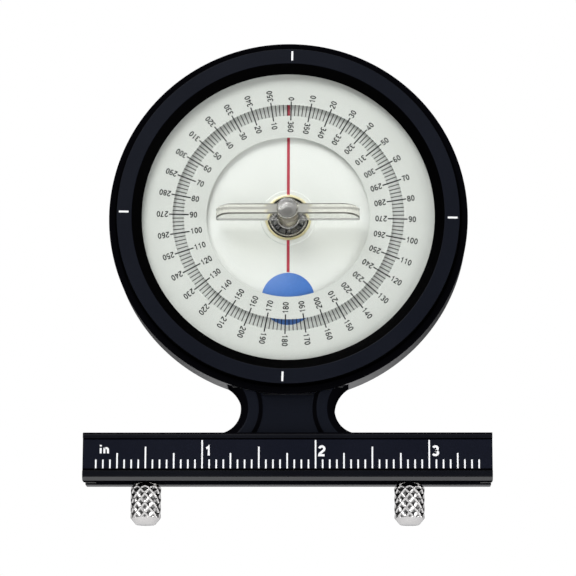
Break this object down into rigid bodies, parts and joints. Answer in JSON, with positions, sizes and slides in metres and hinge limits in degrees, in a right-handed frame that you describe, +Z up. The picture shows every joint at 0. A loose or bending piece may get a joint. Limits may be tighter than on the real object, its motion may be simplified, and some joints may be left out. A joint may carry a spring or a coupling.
{
  "type": "gravity goniometer",
  "caption": "Hand-held gravity angle gauge: a weighted pendulum hangs behind a turning degree dial, over a ruled base bar with two sliding knurled feet.",
  "frame": {"origin": "on the dial's axis at the back face of the round case, where a hand holds it", "axes": "+Z up towards the dial's top, +X along the base bar towards its high numbers, -Y out of the dial's face"},
  "size_m": [0.0918, 0.0182, 0.1113],
  "materials": {
    "anodised": "satin navy-black anodised",
    "ruled_strip": "satin anodised with white marks",
    "steel": "bright stainless",
    "black_oxide": "black oxide",
    "brass": "turned",
    "clear": "clear acrylic",
    "white_print": "matt white film",
    "white_plastic": "white plastic",
    "blue_paint": "blue paint over steel",
    "black_rubber": "matt",
    "black_plastic": "matt"
  },
  "bodies": {
    "case": {"housing": "anodised", "base_bar": "anodised", "ruler_strip": "ruled_strip", "bar_screw_left": "black_oxide", "bar_screw_right": "black_oxide", "slot_plug_left": "black_plastic", "slot_plug_right": "black_plastic", "retaining_ring": "black_oxide", "axle_stud": "steel", "axle_screw": "black_oxide", "bearing_screw": "steel", "bearing_inner_race": "steel"},
    "dial": {"bezel_ring": "anodised", "friction_ring": "black_rubber", "dial_lens": "clear", "scale_ring": "white_print", "lens_retainer": "black_plastic", "handle_fin": "clear", "handle_post": "clear"},
    "pendulum": {"pendulum_disc": "white_plastic", "pendulum_hub": "brass", "pendulum_weight": "blue_paint", "bearing_outer_race": "steel"},
    "cage": {"bearing_cage": "steel", "ball_1": "black_oxide", "ball_2": "black_oxide", "ball_3": "black_oxide", "ball_4": "black_oxide", "ball_5": "black_oxide", "ball_6": "black_oxide", "ball_7": "black_oxide"},
    "nut_left": {"t_nut_left": "steel"},
    "nut_right": {"t_nut_right": "steel"},
    "foot_left": {"foot_left": "steel", "foot_stud_left": "steel"},
    "foot_right": {"foot_right": "steel", "foot_stud_right": "steel"}
  },
  "joints": [
    {"name": "dial_turn", "type": "hinge", "parent": "case", "child": "dial", "pos_m": [0, -0.0087, 0], "axis": [0, -1, 0], "continuous": true},
    {"name": "pendulum_swing", "type": "hinge", "parent": "case", "child": "pendulum", "pos_m": [0, -0.00582, 0], "axis": [0, -1, 0], "continuous": true},
    {"name": "cage_roll", "type": "hinge", "parent": "case", "child": "cage", "pos_m": [0, -0.00582, 0], "axis": [0, -1, 0], "continuous": true},
    {"name": "foot_left_slide", "type": "slide", "parent": "case", "child": "nut_left", "axis": [1, 0, 0], "range_m": [-0.0072, 0.0275]},
    {"name": "foot_left_turn", "type": "hinge", "parent": "nut_left", "child": "foot_left", "pos_m": [-0.03195, -0.00585, -0.065], "axis": [0, 0, 1], "range_deg": [0, 360]},
    {"name": "foot_right_slide", "type": "slide", "parent": "case", "child": "nut_right", "axis": [1, 0, 0], "range_m": [-0.023, 0.0119]},
    {"name": "foot_right_turn", "type": "hinge", "parent": "nut_right", "child": "foot_right", "pos_m": [0.0274, -0.00585, -0.065], "axis": [0, 0, 1], "range_deg": [0, 360]}
  ],
  "couplings": [
    {"joint": "cage_roll", "follows": "pendulum_swing", "ratio": 0.625}
  ]
}
